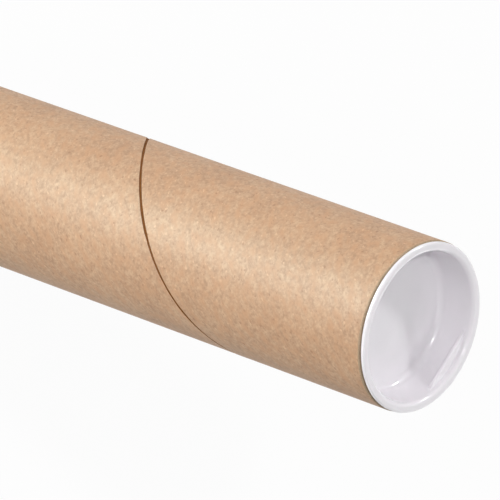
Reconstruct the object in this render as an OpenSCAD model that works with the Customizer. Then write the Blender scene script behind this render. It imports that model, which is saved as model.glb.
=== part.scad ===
// Spiral-wound kraft mailing tube, standing on end, with a white plastic plug in each end.
// Millimetres, +Z along the tube, origin on the table at the middle of the lower plug's rim.

/* [Tube] */
// Inside diameter of the paperboard tube
tube_bore = 50.8; // [38:0.2:152]
// Thickness of the paperboard wall
tube_wall = 1.5; // [1.2:0.1:4]
// Length of the paperboard tube
tube_length = 304.8; // [120:0.1:900]
// Radius worn onto the cut edges of the tube
tube_edge_round = 0.45; // [0.1:0.05:0.55]

/* [Spiral seam] */
// Rise of the seam along the tube in one turn
seam_pitch = 132.5; // [80:0.5:320]
// Gap between the two edges of the outer ply, measured square to the seam
seam_gap = 0.8; // [0.4:0.1:2]
// Depth of the gap, which is the thickness of the outer ply
seam_depth = 0.2; // [0.15:0.05:0.8]
// Angle round the tube at which the seam leaves the tube's lower end
seam_start = 51; // [0:1:359]

/* [End plugs] */
// Length of the plug below its flange
plug_length = 12.7; // [8:0.1:40]
// Room between the plug and the bore, all round
plug_clearance = 0.08; // [0.02:0.01:0.3]
// Gap left between the flange and the tube's cut end, where the taper jams in the bore
seat_gap = 0.4; // [0:0.05:1]
// How much the plug's radius falls from its flange to its nose
plug_taper = 0.9; // [0.2:0.1:2]
// Thickness of the plug's wall
plug_wall = 1.5; // [0.8:0.1:2.5]
// Thickness of the plug's floor
plug_floor = 1.3; // [0.8:0.1:3]
// Radius on the plug's nose
nose_round = 1; // [0.3:0.1:1.5]
// Radius in the corner between the recess's wall and floor
floor_fillet = 2.4; // [0.5:0.1:4]

/* [Plug flange] */
// Thickness of the flange that covers the tube's cut end
flange_thickness = 1.2; // [0.8:0.1:3]
// How far the flange's edge stays inside the tube's outside
flange_inset = 0.2; // [0:0.05:0.8]
// Radius on the flange's outer edge
rim_round = 0.5; // [0.1:0.05:0.7]
// Radius on the flange's edge over the tube
under_round = 0.25; // [0.1:0.05:0.3]
// Radius on the edge of the recess's mouth
mouth_round = 1.3; // [0.1:0.05:1.5]

/* [Hidden] */

kraft = [0.80, 0.66, 0.50];
white_plastic = [0.93, 0.93, 0.94];

// Smoothness of the revolved shapes, and the points on one rounded corner
$fn = 128;
corner_steps = 6;

bore_r = tube_bore / 2;
outside_r = bore_r + tube_wall;
tube_bottom = flange_thickness + seat_gap;
tube_top = tube_bottom + tube_length;

// The seam is swept in short straight steps, and runs on past both ends of the tube
seam_step = 6;
seam_slope = atan(seam_pitch / (2 * PI * outside_r));
seam_height = seam_gap / cos(seam_slope);
seam_overrun = 2 * seam_height;
seam_outer_r = outside_r + seam_depth;
seam_floor_r = outside_r - seam_depth;

plug_r = bore_r - plug_clearance;
nose_r = plug_r - plug_taper;
mouth_r = plug_r - plug_wall;
recess_floor_r = nose_r - plug_wall;
flange_r = outside_r - flange_inset;
plug_nose_z = -plug_length;
recess_floor_z = plug_nose_z + plug_floor;

function unit(v) = v / norm(v);

// Points of an arc of radius r that rounds the corner at b, between the sides to a and to c
function rounded_corner(a, b, c, r) =
    let(
        to_a = unit(a - b),
        to_c = unit(c - b),
        half_angle = acos(to_a * to_c) / 2,
        tangent_length = r / tan(half_angle),
        centre = b + unit(to_a + to_c) * r / sin(half_angle),
        from = b + to_a * tangent_length - centre,
        to = b + to_c * tangent_length - centre,
        sweep = 180 - 2 * half_angle,
        sense = from.x * to.y - from.y * to.x > 0 ? 1 : -1
    )
    [
        for (i = [0 : corner_steps])
            let(turn = sense * sweep * i / corner_steps)
            centre + [
                from.x * cos(turn) - from.y * sin(turn),
                from.x * sin(turn) + from.y * cos(turn)
            ]
    ];

// Outline from corners given as [x, y, radius], where radius 0 leaves the corner sharp
function rounded_outline(corners) =
    let(
        n = len(corners),
        points = [for (corner = corners) [corner.x, corner.y]]
    )
    [
        for (i = [0 : n - 1])
            each corners[i].z > 0
                ? rounded_corner(points[(i + n - 1) % n], points[i], points[(i + 1) % n], corners[i].z)
                : [points[i]]
    ];

// Section of the gap at one step along the seam: lower and upper edge, each at the gap's floor and outside
function seam_section(z) =
    let(turn = seam_start + 360 * (z - tube_bottom) / seam_pitch)
    [
        for (edge = [-1, 1], r = [seam_floor_r, seam_outer_r])
            [r * cos(turn), r * sin(turn), z + edge * seam_height / 2]
    ];

// Solid that fills the gap between the edges of the outer ply, wound once every seam_pitch
module seam_sweep() {
    low = tube_bottom - seam_overrun;
    high = tube_top + seam_overrun;
    steps = ceil(360 * (high - low) / seam_pitch / seam_step);
    corner_order = [0, 1, 3, 2];
    points = [for (i = [0 : steps]) each seam_section(low + (high - low) * i / steps)];
    sides = [
        for (i = [0 : steps - 1], k = [0 : 3])
            let(
                a = 4 * i + corner_order[k],
                b = 4 * i + corner_order[(k + 1) % 4]
            )
            each [[a, b, b + 4], [a, b + 4, a + 4]]
    ];
    ends = [
        [for (k = [3 : -1 : 0]) corner_order[k]],
        [for (k = [0 : 3]) 4 * steps + corner_order[k]]
    ];
    polyhedron(points, concat(sides, ends));
}

module tube() {
    section = rounded_outline([
        [bore_r, tube_bottom, tube_edge_round],
        [outside_r, tube_bottom, tube_edge_round],
        [outside_r, tube_top, tube_edge_round],
        [bore_r, tube_top, tube_edge_round]
    ]);
    color(kraft)
        difference() {
            rotate_extrude() polygon(section);
            seam_sweep();
        }
}

// Plug with its nose down, and its flange's underside at z = 0
module end_plug() {
    section = rounded_outline([
        [0, plug_nose_z, 0],
        [nose_r, plug_nose_z, nose_round],
        [plug_r, 0, 0],
        [flange_r, 0, under_round],
        [flange_r, flange_thickness, rim_round],
        [mouth_r, flange_thickness, mouth_round],
        [recess_floor_r, recess_floor_z, floor_fillet],
        [0, recess_floor_z, 0]
    ]);
    color(white_plastic)
        rotate_extrude() polygon(section);
}

module top_cap() {
    translate([0, 0, tube_top + seat_gap]) end_plug();
}

module bottom_cap() {
    translate([0, 0, tube_bottom - seat_gap]) rotate([180, 0, 0]) end_plug();
}

tube();
top_cap();
bottom_cap();
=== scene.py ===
"""Kraft mailing tube with white end plugs: fine form, materials and a studio stage around its CAD frame."""

import math
from typing import NamedTuple

import bmesh
import bpy
from bpy.props import FloatProperty, FloatVectorProperty, IntProperty, PointerProperty
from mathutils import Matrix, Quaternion, Vector


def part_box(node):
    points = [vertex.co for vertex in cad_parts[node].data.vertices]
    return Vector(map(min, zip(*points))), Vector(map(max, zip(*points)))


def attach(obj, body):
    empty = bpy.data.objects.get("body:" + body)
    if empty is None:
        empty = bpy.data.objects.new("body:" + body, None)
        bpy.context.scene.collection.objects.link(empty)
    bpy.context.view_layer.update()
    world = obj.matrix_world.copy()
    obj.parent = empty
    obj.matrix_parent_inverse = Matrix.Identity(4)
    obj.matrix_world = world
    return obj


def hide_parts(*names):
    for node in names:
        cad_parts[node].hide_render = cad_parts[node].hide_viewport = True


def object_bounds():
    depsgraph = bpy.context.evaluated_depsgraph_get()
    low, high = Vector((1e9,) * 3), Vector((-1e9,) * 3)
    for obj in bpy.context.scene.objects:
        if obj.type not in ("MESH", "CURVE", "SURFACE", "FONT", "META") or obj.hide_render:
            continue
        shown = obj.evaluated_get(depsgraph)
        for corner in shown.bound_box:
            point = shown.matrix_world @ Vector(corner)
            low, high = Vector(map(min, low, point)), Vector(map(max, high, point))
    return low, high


bl_info = {
    "name": "Mailing Tube",
    "version": (1, 0, 0),
    "blender": (4, 5, 0),
    "location": "View3D > Sidebar > Mailing Tube",
    "description": "Winds a kraft mailing tube, moulds its end plugs and sets a studio stage",
    "category": "Add Mesh",
}

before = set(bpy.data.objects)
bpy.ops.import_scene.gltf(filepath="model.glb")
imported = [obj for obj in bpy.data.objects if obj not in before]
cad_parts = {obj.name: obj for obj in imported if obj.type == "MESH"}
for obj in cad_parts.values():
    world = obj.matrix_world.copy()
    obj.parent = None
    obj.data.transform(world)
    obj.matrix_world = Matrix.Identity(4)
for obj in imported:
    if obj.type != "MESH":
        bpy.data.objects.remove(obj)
cad_low, cad_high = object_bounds()
tube_low, tube_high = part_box("tube")
plug_low, plug_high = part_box("top_cap")

WINDING_MAP = "winding"
FULL_TURN = 2 * math.pi

# A turn between two faces that is sharper than this is shaded as an edge
SHARP_ANGLE = math.radians(50)

# Features to the metre in each layer of grain
GRAIN = {
    "kraft_cloud": 60,
    "kraft_patch": 380,
    "kraft_mottle": 480,
    "kraft_dark_speck": 850,
    "kraft_pale_speck": 950,
    "kraft_speckle": 1050,
    "kraft_fibre": 2300,
    "liner_board": 350,
    "gap_board": 900,
    "cut_board": 1200,
    "plastic_flow": 70,
    "plastic_skin": 2200,
}


class LampPlace(NamedTuple):
    """Where a lamp stands, in degrees and metres from what it lights, and the length of its sides.

    Azimuth 0 is the camera's side and turns towards +X."""

    azimuth: float
    elevation: float
    distance: float
    size: float


LAMPS = {
    "key": LampPlace(azimuth=-14, elevation=45, distance=2.5, size=0.12),
    "fore": LampPlace(azimuth=4, elevation=20, distance=1.5, size=0.9),
    "front": LampPlace(azimuth=0, elevation=-15, distance=0.55, size=0.2),
    "side": LampPlace(azimuth=-106, elevation=29, distance=1.5, size=0.12),
    "top": LampPlace(azimuth=170, elevation=76, distance=1.5, size=0.8),
    "back": LampPlace(azimuth=165, elevation=15, distance=1.5, size=0.8),
    "sheen": LampPlace(azimuth=-10, elevation=-35, distance=0.36, size=0.22),
}


def length(name, description, default):
    """A property for a length in metres."""
    return FloatProperty(name=name, description=description, default=default, unit="LENGTH", precision=5)


def angle_in_degrees(name, description, degrees):
    """A property for an angle, whose default is given in degrees."""
    return FloatProperty(name=name, description=description, default=math.radians(degrees), subtype="ANGLE")


def part_of_whole(name, description, default):
    """A property for a part of a whole."""
    return FloatProperty(name=name, description=description, default=default, min=0, max=1, subtype="FACTOR")


def light_level(name, description, default):
    """A property for a strength of light, where 1 lights a white face white."""
    return FloatProperty(name=name, description=description, default=default, min=0)


def whole_number(name, description, default, least):
    """A property for a count."""
    return IntProperty(name=name, description=description, default=default, min=least)


def colour(name, description, default):
    """A property for a colour in linear light."""
    return FloatVectorProperty(
        name=name, description=description, default=default, subtype="COLOR", min=0, max=1
    )


class TubeSettings(bpy.types.PropertyGroup):
    """Sizes and colours of the paperboard tube"""

    outside_radius: length("Outside Radius", "Radius of the tube's outside", tube_high.x)
    wall: length("Wall", "Thickness of the paperboard wall", 0.0015)
    edge_round: length("Edge Round", "Radius worn onto the cut edges", 0.00045)
    plies: whole_number("Plies", "Plies in the wall", 5, 2)
    seam_depth: length("Seam Depth", "Depth of the gap between the outer ply's edges", 0.0002)
    seam_pitch: length("Seam Pitch", "Rise of the seam in one turn", 0.1325)
    seam_gap: length("Seam Gap", "Gap between the outer ply's edges, square to the seam", 0.0008)
    edge_lift: length("Edge Lift", "How far the outer ply's edges stand up", 0.00003)
    liner_gap: length("Liner Gap", "Gap between the liner's edges, square to its seam", 0.0006)
    seam_start: angle_in_degrees("Seam Start", "Angle at which the seam leaves the lower end", 51)
    liner_start: angle_in_degrees("Liner Start", "Angle at which the liner's seam leaves the lower end", 230)
    columns: whole_number("Columns", "Columns of faces round the tube", 360, 24)
    row_spacing: length("Row Spacing", "Distance between rows of faces, away from the seam", 0.008)
    face_colour: colour("Face", "Kraft paper of the outer ply", (0.535, 0.349, 0.212))
    shade_colour: colour("Shade", "Darker patches of the outer ply", (0.378, 0.221, 0.124))
    warm_colour: colour("Warm Patches", "Redder patches of the outer ply", (0.496, 0.280, 0.150))
    speck_colour: colour("Specks", "Dark specks in the paper", (0.270, 0.119, 0.051))
    # The seam's gap colour is the darker ply beneath, made darker still as painted shade for the shallow
    # groove
    gap_ply_and_shade_colour: colour("Gap", "Ply that shows in the seam", (0.195, 0.076, 0.022))
    liner_colour: colour("Liner", "Inside of the tube", (0.420, 0.320, 0.225))
    cut_colour: colour("Cut", "Cut ends of the plies", (0.470, 0.350, 0.235))


class PlugSettings(bpy.types.PropertyGroup):
    """Sizes and colours of an end plug"""

    flange_radius: length("Flange Radius", "Radius of the flange", plug_high.x)
    flange_thickness: length("Flange", "Thickness of the flange", 0.0012)
    height: length("Height", "Height of the plug with its flange", plug_high.z - plug_low.z)
    plug_radius: length("Plug Radius", "Radius of the plug under its flange", 0.02532)
    taper: length("Taper", "How much the radius falls from flange to nose", 0.0009)
    wall: length("Wall", "Thickness of the plug's wall", 0.0015)
    floor: length("Floor", "Thickness of the plug's floor", 0.0013)
    nose_round: length("Nose Round", "Radius on the nose", 0.001)
    floor_fillet: length("Floor Fillet", "Radius between the recess's wall and floor", 0.0024)
    rim_round: length("Rim Round", "Radius on the flange's outer edge", 0.0005)
    under_round: length("Under Round", "Radius on the flange's lower edge", 0.00025)
    mouth_round: length("Mouth Round", "Radius on the edge of the recess", 0.0013)
    crooked: length("Crooked", "How much higher the upper flange sits on one side", 0.00028)
    tab_depth: length("Tab Depth", "How far the pry tab lies below the flange's face", 0.00205)
    tab_thickness: length("Tab Thickness", "Thickness of the pry tab", 0.0013)
    tab_reach: length("Tab Reach", "From the axis to the pry tab's straight edge", 0.0211)
    tab_round: length("Tab Round", "Radius on the pry tab's edges", 0.0004)
    tab_turn: angle_in_degrees("Tab Turn", "Angle round the plug at which the pry tab lies", 71.5)
    columns: whole_number("Columns", "Columns of faces round the plug", 384, 24)
    plastic_colour: colour("Plastic", "White plastic", (0.842, 0.808, 0.846))


class StageSettings(bpy.types.PropertyGroup):
    """Floor, light and camera"""

    floor_size: length("Floor", "Length of the floor's sides", 60.0)
    floor_colour: colour("Floor Colour", "Pale floor", (0.93, 0.93, 0.93))
    floor_glow: part_of_whole("Floor Glow", "Share of plain white in the floor that shows", 0.92)
    fill_strength: light_level("Fill", "Strength of the light from all round", 0.25)
    key_level: light_level("Key", "Light of the small lamp above the camera", 0.30)
    fore_level: light_level("Fore", "Light of the broad lamp below the camera", 0.17)
    front_level: light_level("Front", "Light of the low lamp near the tube", 0.44)
    side_level: light_level("Side", "Light of the small lamp on the -X side", 0.34)
    top_level: light_level("Top", "Light of the broad lamp overhead", 0.155)
    back_level: light_level("Back", "Light of the broad lamp behind", 0.20)
    sheen_level: light_level("Sheen", "Light of the low lamp that only shows as gloss", 1.0)
    sheen_colour: colour("Sheen Colour", "Colour of the low lamp that shows as gloss", (0.72, 1.0, 0.95))
    lamp_aim: part_of_whole("Lamp Aim", "Height that the lamps aim at, as a share of the whole", 0.85)
    camera_distance: length("Camera Distance", "From the camera to the upper rim's centre", 2.105)
    camera_elevation: angle_in_degrees("Camera Elevation", "Angle of the camera above the horizon", 37.23)
    camera_roll: angle_in_degrees("Camera Roll", "How far the camera is rolled about its own axis", 109.69)
    camera_lens: FloatProperty(name="Lens", description="Focal length", default=502.7, unit="CAMERA")
    aim_aside: length("Aim Aside", "How far from the rim's centre towards -X the camera aims", 0.0045)
    aim_below: length(
        "Aim Below", "How far below the rim's centre the camera aims, square to its view", 0.05687
    )


def node(tree, kind, inputs=None, **settings):
    """A new shader node, with its settings, and its inputs linked to sockets or set to values."""
    made = tree.nodes.new(kind)
    for name, value in settings.items():
        setattr(made, name, value)
    for name, value in (inputs or {}).items():
        if isinstance(value, bpy.types.NodeSocket):
            tree.links.new(value, made.inputs[name])
        else:
            made.inputs[name].default_value = value
    return made


def noise(tree, place, scale, detail, roughness=0.5):
    """Noise from 0 to 1 with that many features to the metre."""
    inputs = {"Vector": place, "Scale": scale, "Detail": detail, "Roughness": roughness}
    return node(tree, "ShaderNodeTexNoise", inputs).outputs["Fac"]


def stretched(tree, place, factors, turn=0.0):
    """The place scaled by a factor on each axis, after a turn in the surface's plane."""
    inputs = {"Vector": place, "Scale": factors, "Rotation": (0, 0, turn)}
    return node(tree, "ShaderNodeMapping", inputs).outputs["Vector"]


def remap(tree, value, low, high, to_low=0.0, to_high=1.0):
    """The value's range from low to high brought to another range, and cut off outside it."""
    inputs = {"Value": value, "From Min": low, "From Max": high, "To Min": to_low, "To Max": to_high}
    return node(tree, "ShaderNodeMapRange", inputs).outputs["Result"]


def maths(tree, operation, first, second):
    """One sum of two values."""
    return node(tree, "ShaderNodeMath", {0: first, 1: second}, operation=operation).outputs["Value"]


def weighted(tree, *parts):
    """The sum of values, each times its weight."""
    total = None
    for value, weight in parts:
        share = maths(tree, "MULTIPLY", value, weight)
        total = share if total is None else maths(tree, "ADD", total, share)
    return total


def mixed(tree, factor, first, second):
    """A colour between two colours."""
    made = node(tree, "ShaderNodeMix", data_type="RGBA", clamp_factor=True)
    # The sockets for colours come after those for numbers and vectors
    factor_socket, first_socket, second_socket = made.inputs[0], made.inputs[6], made.inputs[7]
    for socket, value in ((factor_socket, factor), (first_socket, first), (second_socket, second)):
        if isinstance(value, bpy.types.NodeSocket):
            tree.links.new(value, socket)
        else:
            socket.default_value = value if socket is factor_socket else (*value, 1)
    return made.outputs[2]


def shaded(tint, factor):
    """A darker or paler colour."""
    return tuple(min(1.0, factor * part) for part in tint)


def surface(name):
    """A new material with its node tree and its shader."""
    material = bpy.data.materials.new(name)
    material.use_nodes = True
    return material, material.node_tree, material.node_tree.nodes["Principled BSDF"]


def bumped(tree, shader, height, depth, strength):
    """Gives the shader a bump of that depth in metres."""
    inputs = {"Height": height, "Distance": depth, "Strength": strength}
    tree.links.new(node(tree, "ShaderNodeBump", inputs).outputs["Normal"], shader.inputs["Normal"])


def kraft_face(settings):
    """Unbleached kraft: mottled, with short fibres along the ply, dark and pale specks and a satin sheen."""
    material, tree, shader = surface("kraft_face")
    place = node(tree, "ShaderNodeUVMap", uv_map=WINDING_MAP).outputs["UV"]
    # Tone, from the shade to the face
    cloud = noise(tree, place, GRAIN["kraft_cloud"], 2)
    mottle = noise(tree, place, GRAIN["kraft_mottle"], 2)
    speckle = noise(tree, place, GRAIN["kraft_speckle"], 2, 0.6)
    fibre = noise(tree, stretched(tree, place, (0.45, 1, 1)), GRAIN["kraft_fibre"], 3, 0.6)
    tone = weighted(tree, (cloud, 0.2), (mottle, 0.33), (speckle, 0.39), (fibre, 0.08))
    base = mixed(tree, remap(tree, tone, 0.405, 0.595), settings.shade_colour, settings.face_colour)
    # Redder patches, and specks that lie across each other
    warmth = noise(tree, stretched(tree, place, (0.6, 1, 1), 0.4), GRAIN["kraft_patch"], 2)
    base = mixed(tree, remap(tree, warmth, 0.42, 0.7, 0, 0.8), base, settings.warm_colour)
    dark_speck = noise(tree, stretched(tree, place, (0.7, 1, 1), 0.5), GRAIN["kraft_dark_speck"], 1)
    base = mixed(tree, remap(tree, dark_speck, 0.64, 0.76, 0, 0.6), base, settings.speck_colour)
    pale_speck = noise(tree, stretched(tree, place, (0.6, 1, 1), -0.7), GRAIN["kraft_pale_speck"], 1)
    pale = shaded(settings.face_colour, 1.2)
    base = mixed(tree, remap(tree, pale_speck, 0.65, 0.76, 0, 0.65), base, pale)
    tree.links.new(base, shader.inputs["Base Color"])
    # Satin gloss, which a quarter turn draws out along the tube
    tree.links.new(remap(tree, tone, 0.4, 0.6, 0.6, 0.56), shader.inputs["Roughness"])
    shader.inputs["Specular IOR Level"].default_value = 0.6
    shader.inputs["Anisotropic"].default_value = 0.35
    shader.inputs["Anisotropic Rotation"].default_value = 0.25
    bumped(tree, shader, weighted(tree, (fibre, 0.7), (speckle, 0.3)), 0.00003, 0.33)
    return material


def rough_board(name, board_colour, grain):
    """Plain board with a rough grain, for the seam's gap, the liner and the cut ends."""
    material, tree, shader = surface(name)
    place = node(tree, "ShaderNodeTexCoord").outputs["Object"]
    coarse = noise(tree, place, grain, 4, 0.6)
    fine = noise(tree, place, 4 * grain, 3, 0.6)
    tone = weighted(tree, (coarse, 0.6), (fine, 0.4))
    dark = shaded(board_colour, 0.72)
    base = mixed(tree, remap(tree, tone, 0.36, 0.62), dark, board_colour)
    tree.links.new(base, shader.inputs["Base Color"])
    tree.links.new(remap(tree, tone, 0.35, 0.65, 0.95, 0.8), shader.inputs["Roughness"])
    shader.inputs["Specular IOR Level"].default_value = 0.1
    bumped(tree, shader, tone, 0.00008, 0.6)
    return material


def white_plastic(settings):
    """Smooth moulded plastic: milky inside, satin, with faint flow clouds and a fine skin."""
    material, tree, shader = surface("white_plastic")
    place = node(tree, "ShaderNodeTexCoord").outputs["Object"]
    flow = noise(tree, place, GRAIN["plastic_flow"], 3)
    skin = noise(tree, place, GRAIN["plastic_skin"], 2)
    dim = shaded(settings.plastic_colour, 0.985)
    base = mixed(tree, remap(tree, flow, 0.35, 0.65), dim, settings.plastic_colour)
    tree.links.new(base, shader.inputs["Base Color"])
    tree.links.new(remap(tree, flow, 0.3, 0.7, 0.14, 0.18), shader.inputs["Roughness"])
    shader.inputs["Subsurface Weight"].default_value = 0.5
    shader.inputs["Subsurface Radius"].default_value = (1.0, 0.9, 0.95)
    shader.inputs["Subsurface Scale"].default_value = 0.003
    shader.inputs["IOR"].default_value = 1.5
    bumped(tree, shader, skin, 0.00001, 0.2)
    return material


class Winding:
    """A ply wound round the tube: where its seam runs, and the shape of the surface on both sides of it."""

    def __init__(self, radius, pitch, start, low, gap, profile):
        self.radius = radius
        self.pitch = pitch
        self.base = low - pitch * start / FULL_TURN
        self.half_gap = gap / 2
        self.profile = profile
        self.turn_length = math.hypot(FULL_TURN * radius, pitch)
        self.along_rise = pitch / self.turn_length
        self.across_rise = FULL_TURN * radius / self.turn_length

    def seam_height(self, turns):
        """Height of the seam after that many turns."""
        return self.base + self.pitch * turns

    def unevenness(self, turns):
        """How much wider or narrower than usual the gap is after that many turns."""
        # Waves to the turn, where they start, and how strong they are
        waves = ((5.3, 0.9, 0.09), (13.7, 2.2, 0.07), (31.1, 4.0, 0.05))
        return 1 + sum(size * math.sin(FULL_TURN * pace * turns + shift) for pace, shift, size in waves)

    def relief(self, turns, height):
        """How far the surface stands over the wall, at some turns round the tube and some height."""
        nearest = round((height - self.base) / self.pitch - turns) + turns
        distance = (height - self.seam_height(nearest)) * self.across_rise
        reach = abs(distance) / (self.half_gap * self.unevenness(nearest))
        for (near, low), (far, high) in zip(self.profile, self.profile[1:]):
            if reach < far:
                return low + (high - low) * (reach - near) / (far - near)
        return self.profile[-1][1]

    def rows(self, spacing):
        """Places across one turn.

        Each holds the turns to the seam that it goes by, and its distance from it over the half gap."""
        reaches = [reach for reach, _ in self.profile]
        width = self.pitch * self.across_rise / self.half_gap
        count = round(self.pitch * self.across_rise / spacing)
        middle = [
            (0, reaches[-1] + (width - 2 * reaches[-1]) * i / count)
            for i in range(1, count)
        ]
        return [(0, r) for r in reaches] + middle + [(1, -r) for r in reversed(reaches[1:])]


def wound_shell(mesh, winding, columns, low, high, spacing, facing, face_slot, gap_slot):
    """Adds one face of the wall, as a grid whose rows follow the winding, cut off at two heights.

    Returns the rings of vertices at the lower and at the upper end."""
    rows = winding.rows(spacing)
    per_turn = len(rows)
    found = {}
    winding_map = mesh.loops.layers.uv[WINDING_MAP]

    def row_height(column, row):
        """Height of a row at a column, with the column counted on past one turn."""
        turn, index = divmod(row, per_turn)
        seam_turns, reach = rows[index]
        turns = turn + seam_turns + column / columns
        near_seam = abs(reach) <= winding.profile[-1][0]
        width = winding.unevenness(turns) if near_seam else 1
        return winding.seam_height(turns) + reach * width * winding.half_gap / winding.across_rise

    def vertex(column, row):
        """The grid's vertex, where the rows above and below the cut ends share the end's own vertex."""
        turn, around = divmod(column, columns)
        height = row_height(column, row)
        key = (around, row + turn * per_turn)
        if height <= low:
            height, key = low, (around, "low")
        if height >= high:
            height, key = high, (around, "high")
        if key not in found:
            turns = around / columns
            angle = FULL_TURN * turns
            radius = winding.radius + facing * winding.relief(turns, height)
            found[key] = mesh.verts.new((radius * math.cos(angle), radius * math.sin(angle), height))
        return found[key]

    first = math.floor((low - winding.base) / winding.pitch) - 1
    last = math.ceil((high - winding.base) / winding.pitch) + 1
    for row in range(first * per_turn, last * per_turn):
        turn, index = divmod(row, per_turn)
        in_gap = abs(rows[index][1] + rows[(index + 1) % per_turn][1]) / 2 < 1
        for column in range(columns):
            corners = [(column, row), (column + 1, row), (column + 1, row + 1), (column, row + 1)]
            ring = {vertex(*corner): corner for corner in corners}
            if len(ring) < 3:
                continue
            order = list(ring) if facing > 0 else list(reversed(ring))
            face = mesh.faces.new(order)
            face.material_index = gap_slot if in_gap else face_slot
            for loop in face.loops:
                turns = turn + ring[loop.vert][0] / columns
                rise = loop.vert.co.z - winding.seam_height(turns)
                along = turns * winding.turn_length + rise * winding.along_rise
                loop[winding_map].uv = (along, rise * winding.across_rise)
    return [[found[(column, end)] for column in range(columns)] for end in ("low", "high")]


def cut_end(mesh, outer_ring, inner_ring, height, facing, settings, face_slot):
    """Closes one cut end of the wall, with worn edges and a fine groove along each glue line."""
    bore = settings.outside_radius - settings.wall
    worn = settings.edge_round
    groove_depth = 0.00007
    groove_half = 0.00005
    rounding = []
    for degrees in (30, 60, 90):
        turned = math.radians(degrees)
        rounding.append((worn * (1 - math.cos(turned)), worn * (1 - math.sin(turned))))
    outline = [(settings.outside_radius - inset, depth) for inset, depth in rounding]
    for ply in range(1, settings.plies):
        glue_line = bore + settings.wall * ply / settings.plies
        outline += [(glue_line + groove_half, 0), (glue_line, groove_depth), (glue_line - groove_half, 0)]
    outline += [(bore + inset, depth) for inset, depth in rounding]
    outline.sort(reverse=True)
    rings = [outer_ring]
    for radius, depth in outline:
        ring = []
        share = (radius - bore) / settings.wall
        for vert in outer_ring:
            reach = math.hypot(vert.co.x, vert.co.y)
            scaled = (bore + share * (reach - bore)) / reach
            ring.append(mesh.verts.new((vert.co.x * scaled, vert.co.y * scaled, height - facing * depth)))
        rings.append(ring)
    rings.append(inner_ring)
    join_rings(mesh, rings, facing, face_slot)


def join_rings(mesh, rings, facing, face_slot=0):
    """Joins rings of equal length with faces."""
    for ring, following in zip(rings, rings[1:]):
        count = len(ring)
        for i in range(count):
            j = (i + 1) % count
            corners = [ring[i], ring[j], following[j], following[i]]
            face = mesh.faces.new(corners if facing > 0 else corners[::-1])
            face.material_index = face_slot


def finished_piece(mesh, name, body, materials):
    """Turns a mesh into a smooth piece that rides on a body and replaces the node of the body's name."""
    data = bpy.data.meshes.new(name)
    bmesh.ops.recalc_face_normals(mesh, faces=mesh.faces)
    # All the faces of a mirrored form may point inwards
    if mesh.calc_volume(signed=True) < 0:
        bmesh.ops.reverse_faces(mesh, faces=mesh.faces)
    mesh.to_mesh(data)
    mesh.free()
    data.shade_smooth()
    data.set_sharp_from_angle(angle=SHARP_ANGLE)
    for material in materials:
        data.materials.append(material)
    piece = bpy.data.objects.new(name, data)
    bpy.context.scene.collection.objects.link(piece)
    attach(piece, body)
    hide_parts(body)


class MAILINGTUBE_OT_wind_tube(bpy.types.Operator):
    """Wind the paperboard tube, with the gap between the edges of its outer ply"""

    bl_idname = "mailing_tube.wind_tube"
    bl_label = "Wind Tube"

    def execute(self, context):
        settings = context.scene.mailing_tube
        low = tube_low.z
        high = tube_high.z
        depth = settings.seam_depth
        lift = settings.edge_lift
        # Places across a seam: distance from its middle over the half gap, and height over the wall
        outer_profile = (
            (0, -depth), (0.8, -depth), (0.95, -0.8 * depth), (1.0, -0.25 * depth),
            (1.15, 0.6 * lift), (1.6, lift), (4, 0.4 * lift), (10, 0),
        )
        liner_profile = ((0, -depth), (0.85, -depth), (1.0, -0.2 * depth), (1.3, 0), (4, 0))
        bore = settings.outside_radius - settings.wall
        pitch = settings.seam_pitch
        outside = settings.outside_radius
        outer = Winding(outside, pitch, settings.seam_start, low, settings.seam_gap, outer_profile)
        liner = Winding(bore, pitch, settings.liner_start, low, settings.liner_gap, liner_profile)
        mesh = bmesh.new()
        mesh.loops.layers.uv.new(WINDING_MAP)
        ends = (low + settings.edge_round, high - settings.edge_round)
        columns = settings.columns
        spacing = settings.row_spacing
        # The materials' slots, in the order of the list below
        paper, gap, lining, cut = range(4)
        outer_ends = wound_shell(mesh, outer, columns, *ends, spacing, 1, paper, gap)
        inner_ends = wound_shell(mesh, liner, columns, *ends, 2 * spacing, -1, lining, gap)
        for outer_ring, inner_ring, height, facing in zip(outer_ends, inner_ends, (low, high), (-1, 1)):
            cut_end(mesh, outer_ring, inner_ring, height, facing, settings, cut)
        materials = [
            kraft_face(settings),
            # The seam's gap is darker than its ply partly as painted shade in the shallow groove
            rough_board("seam_gap", settings.gap_ply_and_shade_colour, GRAIN["gap_board"]),
            rough_board("tube_liner", settings.liner_colour, GRAIN["liner_board"]),
            rough_board("cut_plies", settings.cut_colour, GRAIN["cut_board"]),
        ]
        finished_piece(mesh, "kraft_tube", "tube", materials)
        return {"FINISHED"}


def rounded_corner(before, corner, after, radius, steps):
    """Points of an arc that rounds the corner between two straight sides, or that all lie in the corner."""
    if radius == 0:
        return [corner] * (steps + 1)
    to_before = (before - corner).normalized()
    to_after = (after - corner).normalized()
    half = to_before.angle(to_after) / 2
    centre = corner + (to_before + to_after).normalized() * radius / math.sin(half)
    first = corner + to_before * radius / math.tan(half) - centre
    last = corner + to_after * radius / math.tan(half) - centre
    sweep = first.angle(last)
    points = []
    for i in range(steps + 1):
        part = sweep * i / steps
        points.append(centre + (first * math.sin(sweep - part) + last * math.sin(part)) / math.sin(sweep))
    return points


def rounded_outline(corners, steps, reach):
    """An open outline from (x, y, radius) corners, whose two ends stay sharp.

    Each side has a point near both of its ends, which keeps its shading flat."""
    points = [Vector(corner[:2]) for corner in corners]
    arcs = [[points[0]]]
    for i in range(1, len(corners) - 1):
        arcs.append(rounded_corner(points[i - 1], points[i], points[i + 1], corners[i][2], steps))
    arcs.append([points[-1]])
    outline = list(arcs[0])
    for arc, following in zip(arcs, arcs[1:]):
        side = following[0] - arc[-1]
        step = side.normalized() * min(reach, side.length / 3)
        outline += [arc[-1] + step, following[0] - step, *following]
    return outline


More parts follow.
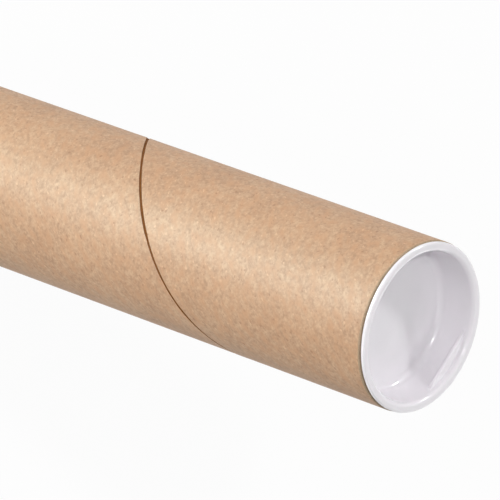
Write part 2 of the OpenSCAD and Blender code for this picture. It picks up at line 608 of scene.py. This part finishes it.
def turned_form(mesh, sections):
    """Joins sections that stand evenly round the axis, and start and end on it, into a closed form."""
    columns = len(sections)
    rings = []
    for points in list(zip(*sections))[1:-1]:
        ring = []
        for i, point in enumerate(points):
            angle = FULL_TURN * i / columns
            ring.append(mesh.verts.new((point.x * math.cos(angle), point.x * math.sin(angle), point.y)))
        rings.append(ring)
    join_rings(mesh, rings, 1)
    for point, ring in ((sections[0][0], rings[0]), (sections[0][-1], rings[-1])):
        middle = mesh.verts.new((0, 0, point.y))
        for i in range(columns):
            mesh.faces.new((middle, ring[i], ring[(i + 1) % columns]))
    touching = 1e-7
    bmesh.ops.remove_doubles(mesh, verts=mesh.verts, dist=touching)


def plug_section(settings, turn):
    """Section of a plug at an angle round it, with its nose down and its flange's underside at height 0.

    On one side of the recess a tab with a straight edge stands out of the wall, to pry the plug out by."""
    nose_radius = settings.plug_radius - settings.taper
    nose_height = settings.flange_thickness - settings.height
    floor_height = nose_height + settings.floor
    flange_top = settings.flange_thickness
    mouth_radius = settings.plug_radius - settings.wall
    floor_radius = nose_radius - settings.wall
    draft = (mouth_radius - floor_radius) / (flange_top - floor_height)
    tab_top = flange_top - settings.tab_depth
    tab_bottom = tab_top - settings.tab_thickness
    wall_above = mouth_radius - draft * settings.tab_depth
    wall_below = wall_above - draft * settings.tab_thickness
    facing = math.cos(turn - settings.tab_turn)
    edge_radius = settings.tab_reach / facing if facing > 0 else wall_above
    width = max(wall_above - edge_radius, 0)
    tab_round = min(settings.tab_round, 0.4 * width)
    corners = [
        (0, nose_height, 0),
        (nose_radius, nose_height, settings.nose_round),
        (settings.plug_radius, 0, 0),
        (settings.flange_radius, 0, settings.under_round),
        (settings.flange_radius, flange_top, settings.rim_round),
        (mouth_radius, flange_top, settings.mouth_round),
        (wall_above, tab_top, tab_round),
        (wall_above - width, tab_top, tab_round),
        (wall_below - width, tab_bottom, tab_round),
        (wall_below, tab_bottom, tab_round),
        (floor_radius, floor_height, settings.floor_fillet),
        (0, floor_height, 0),
    ]
    arc_steps = 8
    support_reach = 0.0002
    return rounded_outline(corners, arc_steps, support_reach)


class MAILINGTUBE_OT_mould_plugs(bpy.types.Operator):
    """Mould the two end plugs and press them into the tube"""

    bl_idname = "mailing_tube.mould_plugs"
    bl_label = "Mould Plugs"

    def execute(self, context):
        settings = context.scene.mailing_tube_plug
        turns = [FULL_TURN * i / settings.columns for i in range(settings.columns)]
        sections = [plug_section(settings, turn) for turn in turns]
        plastic = white_plastic(settings)
        rims = (
            ("top_plug", "top_cap", 1, cad_high.z, settings.crooked),
            ("bottom_plug", "bottom_cap", -1, cad_low.z, 0),
        )
        for name, body, facing, rim, crooked in rims:
            mesh = bmesh.new()
            seat = rim - facing * settings.flange_thickness
            turned_form(mesh, sections)
            for vert in mesh.verts:
                vert.co.z = seat + facing * vert.co.z + crooked * vert.co.x / settings.flange_radius
            finished_piece(mesh, name, body, [plastic])
        return {"FINISHED"}


def seen_directly(tree):
    """1 for rays from the camera, a mirror or a clear surface, and 0 for the light that falls on things."""
    path = node(tree, "ShaderNodeLightPath").outputs
    seen = maths(tree, "MAXIMUM", path["Is Camera Ray"], path["Is Glossy Ray"])
    return maths(tree, "MAXIMUM", seen, path["Is Transmission Ray"])


def pale_floor(settings):
    """Floor that looks nearly white and still takes a soft shadow."""
    material = bpy.data.materials.new("pale_floor")
    material.use_nodes = True
    tree = material.node_tree
    tree.nodes.clear()
    paint = node(tree, "ShaderNodeBsdfDiffuse", {"Color": (*settings.floor_colour, 1)})
    glow = node(tree, "ShaderNodeEmission", {"Color": (1, 1, 1, 1), "Strength": 1})
    share = maths(tree, "MULTIPLY", seen_directly(tree), settings.floor_glow)
    both = node(tree, "ShaderNodeMixShader", {0: share, 1: paint.outputs[0], 2: glow.outputs[0]})
    node(tree, "ShaderNodeOutputMaterial", {"Surface": both.outputs[0]})
    return material


def add_floor(settings):
    """Lays a large floor under the object."""
    half = settings.floor_size / 2
    mesh = bmesh.new()
    corners = [mesh.verts.new((x * half, y * half, 0)) for x, y in ((-1, -1), (1, -1), (1, 1), (-1, 1))]
    mesh.faces.new(corners)
    data = bpy.data.meshes.new("floor")
    mesh.to_mesh(data)
    mesh.free()
    data.materials.append(pale_floor(settings))
    floor = bpy.data.objects.new("floor", data)
    bpy.context.scene.collection.objects.link(floor)


def light_world(settings):
    """An even fill from all round, behind a backdrop that looks white."""
    world = bpy.data.worlds.new("studio")
    world.use_nodes = True
    tree = world.node_tree
    tree.nodes.clear()
    fill = node(tree, "ShaderNodeBackground", {"Color": (1, 1, 1, 1), "Strength": settings.fill_strength})
    white = node(tree, "ShaderNodeBackground", {"Color": (1, 1, 1, 1), "Strength": 1})
    sides = {0: seen_directly(tree), 1: fill.outputs[0], 2: white.outputs[0]}
    both = node(tree, "ShaderNodeMixShader", sides)
    node(tree, "ShaderNodeOutputWorld", {"Surface": both.outputs[0]})
    bpy.context.scene.world = world


def add_lamp(name, place, level, target):
    """A square lamp that faces a target, set by the light that it brings there.

    A level of 1 lights a white face white."""
    lamp = bpy.data.lights.new(name, "AREA")
    lamp.shape = "SQUARE"
    lamp.size = place.size
    lamp.energy = level * math.pi ** 2 * place.distance ** 2
    holder = bpy.data.objects.new(name, lamp)
    turn = math.radians(place.azimuth)
    rise = math.radians(place.elevation)
    towards = Vector((math.sin(turn) * math.cos(rise), -math.cos(turn) * math.cos(rise), math.sin(rise)))
    holder.location = target + towards * place.distance
    holder.rotation_mode = "QUATERNION"
    holder.rotation_quaternion = (-towards).to_track_quat("-Z", "Y")
    holder.visible_camera = False
    bpy.context.scene.collection.objects.link(holder)
    return holder


def add_camera(settings):
    """A long lens that looks down on the upper plug, rolled so that the tube lies across the picture."""
    rim = Vector((0, 0, cad_high.z))
    elevation = settings.camera_elevation
    back = Vector((0, -math.cos(elevation), math.sin(elevation)))
    across = Vector((1, 0, 0))
    down_tube = Vector((0, -math.sin(elevation), -math.cos(elevation)))
    data = bpy.data.cameras.new("camera")
    data.lens = settings.camera_lens
    data.sensor_width = 36
    data.clip_end = 100
    camera = bpy.data.objects.new("camera", data)
    camera.location = rim + back * settings.camera_distance
    aim = rim - settings.aim_aside * across + settings.aim_below * down_tube
    look = (aim - camera.location).to_track_quat("-Z", "Y")
    camera.rotation_mode = "QUATERNION"
    camera.rotation_quaternion = look @ Quaternion((0, 0, 1), settings.camera_roll)
    bpy.context.scene.collection.objects.link(camera)
    bpy.context.scene.camera = camera


class MAILINGTUBE_OT_set_stage(bpy.types.Operator):
    """Set the floor, the light and the camera"""

    bl_idname = "mailing_tube.set_stage"
    bl_label = "Set Stage"

    def execute(self, context):
        settings = context.scene.mailing_tube_stage
        target = Vector((0, 0, settings.lamp_aim * cad_high.z))
        add_floor(settings)
        light_world(settings)
        for name, place in LAMPS.items():
            lamp = add_lamp(f"{name}_lamp", place, getattr(settings, f"{name}_level"), target)
            if name == "sheen":
                lamp.visible_diffuse = False
                lamp.data.color = settings.sheen_colour
        add_camera(settings)
        context.scene.view_settings.view_transform = "Standard"
        return {"FINISHED"}


class MAILINGTUBE_PT_panel(bpy.types.Panel):
    """Lists the steps that build the mailing tube"""

    bl_idname = "MAILINGTUBE_PT_panel"
    bl_label = "Mailing Tube"
    bl_space_type = "VIEW_3D"
    bl_region_type = "UI"
    bl_category = "Mailing Tube"

    def draw(self, context):
        for operator in OPERATORS:
            self.layout.operator(operator.bl_idname)


SETTINGS = {
    "mailing_tube": TubeSettings,
    "mailing_tube_plug": PlugSettings,
    "mailing_tube_stage": StageSettings,
}
OPERATORS = (MAILINGTUBE_OT_wind_tube, MAILINGTUBE_OT_mould_plugs, MAILINGTUBE_OT_set_stage)
CLASSES = (*SETTINGS.values(), *OPERATORS, MAILINGTUBE_PT_panel)


def register():
    """Registers the classes and puts their settings on the scene."""
    for kind in CLASSES:
        bpy.utils.register_class(kind)
    for name, kind in SETTINGS.items():
        setattr(bpy.types.Scene, name, PointerProperty(type=kind))


def unregister():
    """Takes the settings and the classes away again."""
    for name in SETTINGS:
        delattr(bpy.types.Scene, name)
    for kind in reversed(CLASSES):
        bpy.utils.unregister_class(kind)


def main():
    register()
    bpy.ops.mailing_tube.wind_tube()
    bpy.ops.mailing_tube.mould_plugs()
    bpy.ops.mailing_tube.set_stage()


if __name__ == "__main__":
    main()
